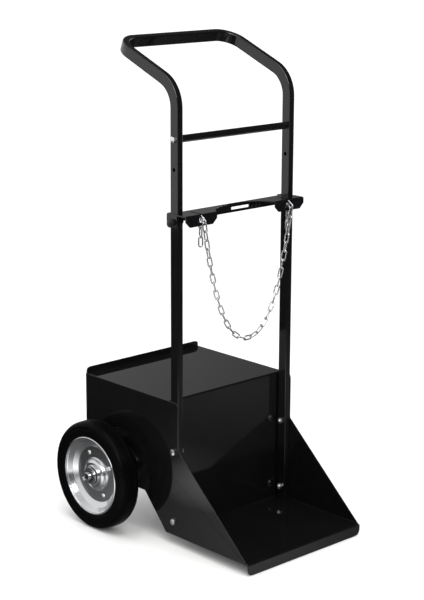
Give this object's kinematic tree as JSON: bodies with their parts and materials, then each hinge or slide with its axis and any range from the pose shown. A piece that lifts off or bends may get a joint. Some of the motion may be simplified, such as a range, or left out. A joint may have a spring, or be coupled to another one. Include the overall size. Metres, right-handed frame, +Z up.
{
  "type": "hand truck",
  "caption": "Upright two-wheel trolley in black sheet steel and tube, with a toe plate for a gas cylinder, a retaining chain and a flat shelf behind for a machine.",
  "frame": {"origin": "on the ground under the middle of the trolley's bounding box", "axes": "+Z up, -Y to the front where the cylinder stands on the toe plate, X across; left is -X"},
  "size_m": [0.518, 0.568, 1.1103],
  "materials": {
    "black_gloss": "gloss black powder coat",
    "black_bolt": "black oxide, satin",
    "zinc_bolt": "bright zinc plate",
    "zinc_chain": "bright zinc plate",
    "zinc_rim": "bright zinc plated pressing",
    "axle_steel": "drawn steel",
    "spring_steel": "phosphated spring steel",
    "bearing_plastic": "moulded nylon",
    "rubber_tyre": "moulded black rubber, semi-matt"
  },
  "bodies": {
    "root": {"handle_frame": "black_gloss", "crossbar": "black_gloss", "crossbar_bolts": "zinc_bolt", "cylinder_bracket": "black_gloss", "bracket_bolts": "black_bolt", "bracket_nuts": "black_bolt", "body_bolts": "zinc_bolt", "body_nuts": "zinc_bolt", "shelf_panel": "black_gloss", "toe_plate": "black_gloss", "side_plate_left": "black_gloss", "side_plate_right": "black_gloss", "axle": "axle_steel", "axle_spacers": "zinc_rim", "inner_washers": "zinc_bolt", "outer_washers": "zinc_bolt", "axle_circlips": "spring_steel", "chain_anchor_links": "zinc_chain"},
    "chain": {"chain_main": "zinc_chain"},
    "tail_left": {"chain_tail_left": "zinc_chain"},
    "tail_right": {"chain_tail_right": "zinc_chain"},
    "wheel_left": {"tyre_left": "rubber_tyre", "rim_outer_left": "zinc_rim", "rim_inner_left": "zinc_rim", "rim_rivets_left": "zinc_bolt", "hub_tube_left": "zinc_rim", "hub_bearings_left": "bearing_plastic"},
    "wheel_right": {"tyre_right": "rubber_tyre", "rim_outer_right": "zinc_rim", "rim_inner_right": "zinc_rim", "rim_rivets_right": "zinc_bolt", "hub_tube_right": "zinc_rim", "hub_bearings_right": "bearing_plastic"}
  },
  "joints": [
    {"name": "wheel_left_spin", "type": "hinge", "parent": "root", "child": "wheel_left", "pos_m": [-0.227, 0.159, 0.125], "axis": [1, 0, 0], "continuous": true},
    {"name": "wheel_right_spin", "type": "hinge", "parent": "root", "child": "wheel_right", "pos_m": [0.227, 0.159, 0.125], "axis": [1, 0, 0], "continuous": true},
    {"name": "chain_swing", "type": "hinge", "parent": "root", "child": "chain", "pos_m": [0, -0.09519, 0.73346], "axis": [1, 0, 0], "range_deg": [-90, 4]},
    {"name": "tail_left_swing", "type": "hinge", "parent": "root", "child": "tail_left", "pos_m": [-0.1315, -0.0842, 0.74086], "axis": [1, 0, 0], "range_deg": [0, 45]},
    {"name": "tail_right_swing", "type": "hinge", "parent": "root", "child": "tail_right", "pos_m": [0.1315, -0.0842, 0.74086], "axis": [1, 0, 0], "range_deg": [0, 45]}
  ]
}
